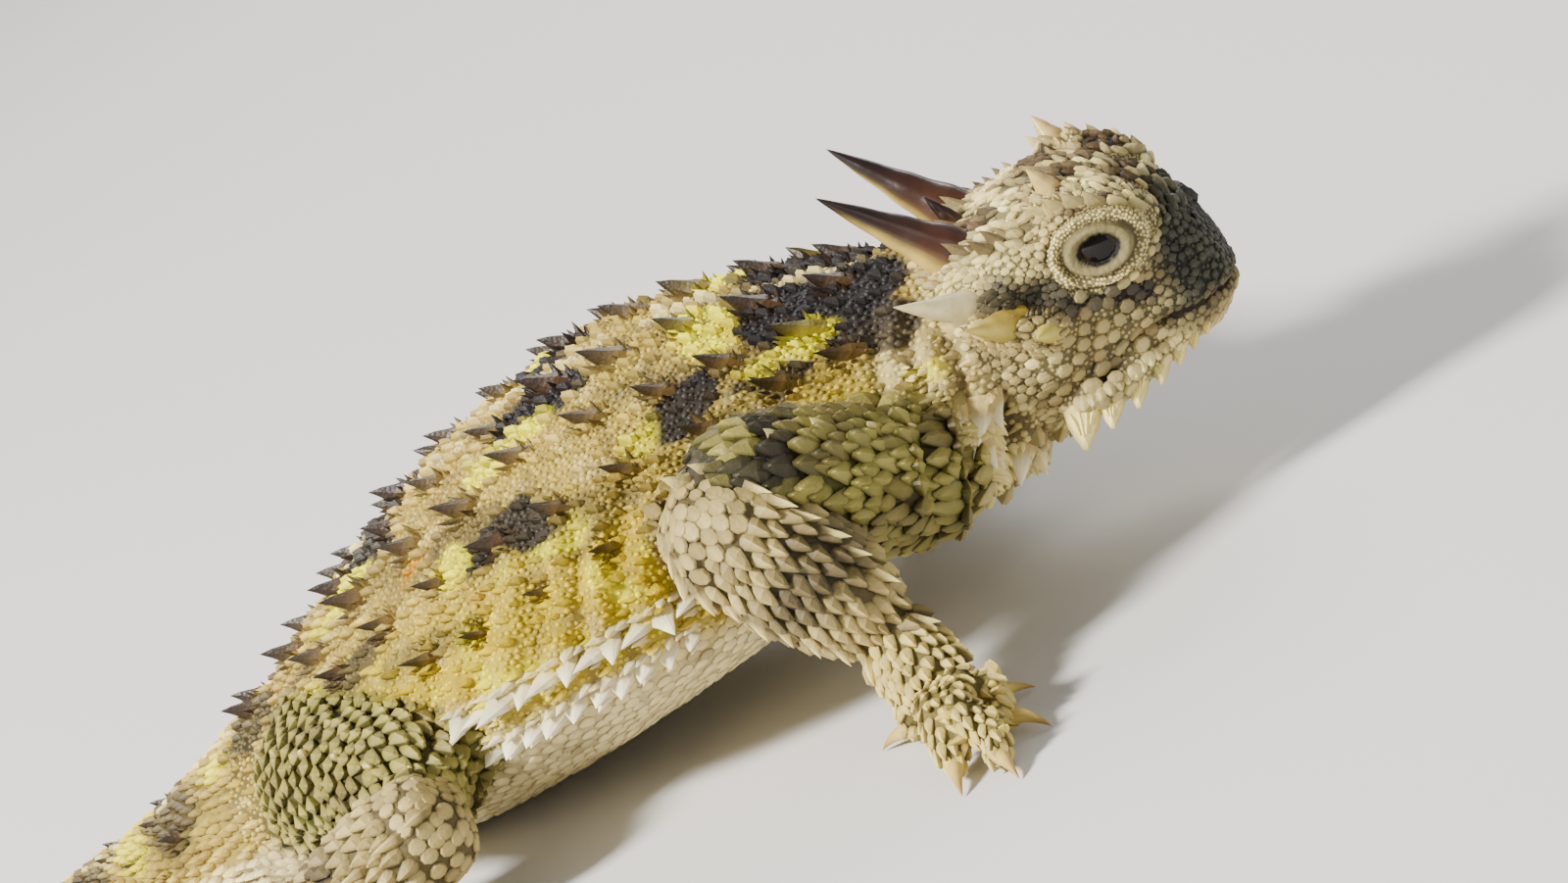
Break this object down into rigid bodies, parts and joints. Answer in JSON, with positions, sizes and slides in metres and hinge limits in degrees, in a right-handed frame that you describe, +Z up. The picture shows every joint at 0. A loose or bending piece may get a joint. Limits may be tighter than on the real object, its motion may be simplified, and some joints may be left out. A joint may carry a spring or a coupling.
{
  "type": "texas horned lizard",
  "caption": "Life-size still model of a horned lizard sitting up on its forelegs, with head horns, spined back, fringed flanks, clawed feet and a short tail.",
  "frame": {"origin": "Middle of the small flat under the pelvis, on the floor the animal rests on.", "axes": "+X points to the snout, +Y to the animal's left side, +Z up from the floor."},
  "size_m": [0.1208, 0.0818, 0.0318],
  "materials": {
    "skin": "dry granular scales, tan and yellow with dark blotches",
    "limb_skin": "overlapping keeled scales, beige and olive grey",
    "dark_horn": "smooth dark brown horn with a paler root",
    "pale_horn": "smooth pale horn, slightly translucent",
    "eye": "wet black",
    "claw": "smooth pale claw"
  },
  "bodies": {
    "root": {"claw_foot_left_1": "claw", "claw_foot_left_2": "claw", "claw_foot_left_3": "claw", "claw_foot_left_4": "claw", "claw_foot_left_5": "claw", "claw_foot_right_1": "claw", "claw_foot_right_2": "claw", "claw_foot_right_3": "claw", "claw_foot_right_4": "claw", "claw_foot_right_5": "claw", "claw_hand_left_1": "claw", "claw_hand_left_2": "claw", "claw_hand_left_3": "claw", "claw_hand_left_4": "claw", "claw_hand_left_5": "claw", "claw_hand_right_1": "claw", "claw_hand_right_2": "claw", "claw_hand_right_3": "claw", "claw_hand_right_4": "claw", "claw_hand_right_5": "claw", "eye_left": "eye", "eye_right": "eye", "foot_left": "limb_skin", "foot_right": "limb_skin", "forearm_left": "limb_skin", "forearm_right": "limb_skin", "hand_left": "limb_skin", "hand_right": "limb_skin", "head": "skin", "horn_interoccipital": "dark_horn", "horn_occipital_left": "dark_horn", "horn_occipital_right": "dark_horn", "horn_superciliary_left": "dark_horn", "horn_superciliary_right": "dark_horn", "horn_temporal_front_left": "pale_horn", "horn_temporal_front_right": "pale_horn", "horn_temporal_middle_left": "pale_horn", "horn_temporal_middle_right": "pale_horn", "horn_temporal_rear_left": "pale_horn", "horn_temporal_rear_right": "pale_horn", "neck": "skin", "shin_left": "limb_skin", "shin_right": "limb_skin", "tail": "skin", "thigh_left": "limb_skin", "thigh_right": "limb_skin", "torso": "skin", "upper_arm_left": "limb_skin", "upper_arm_right": "limb_skin"}
  },
  "joints": []
}
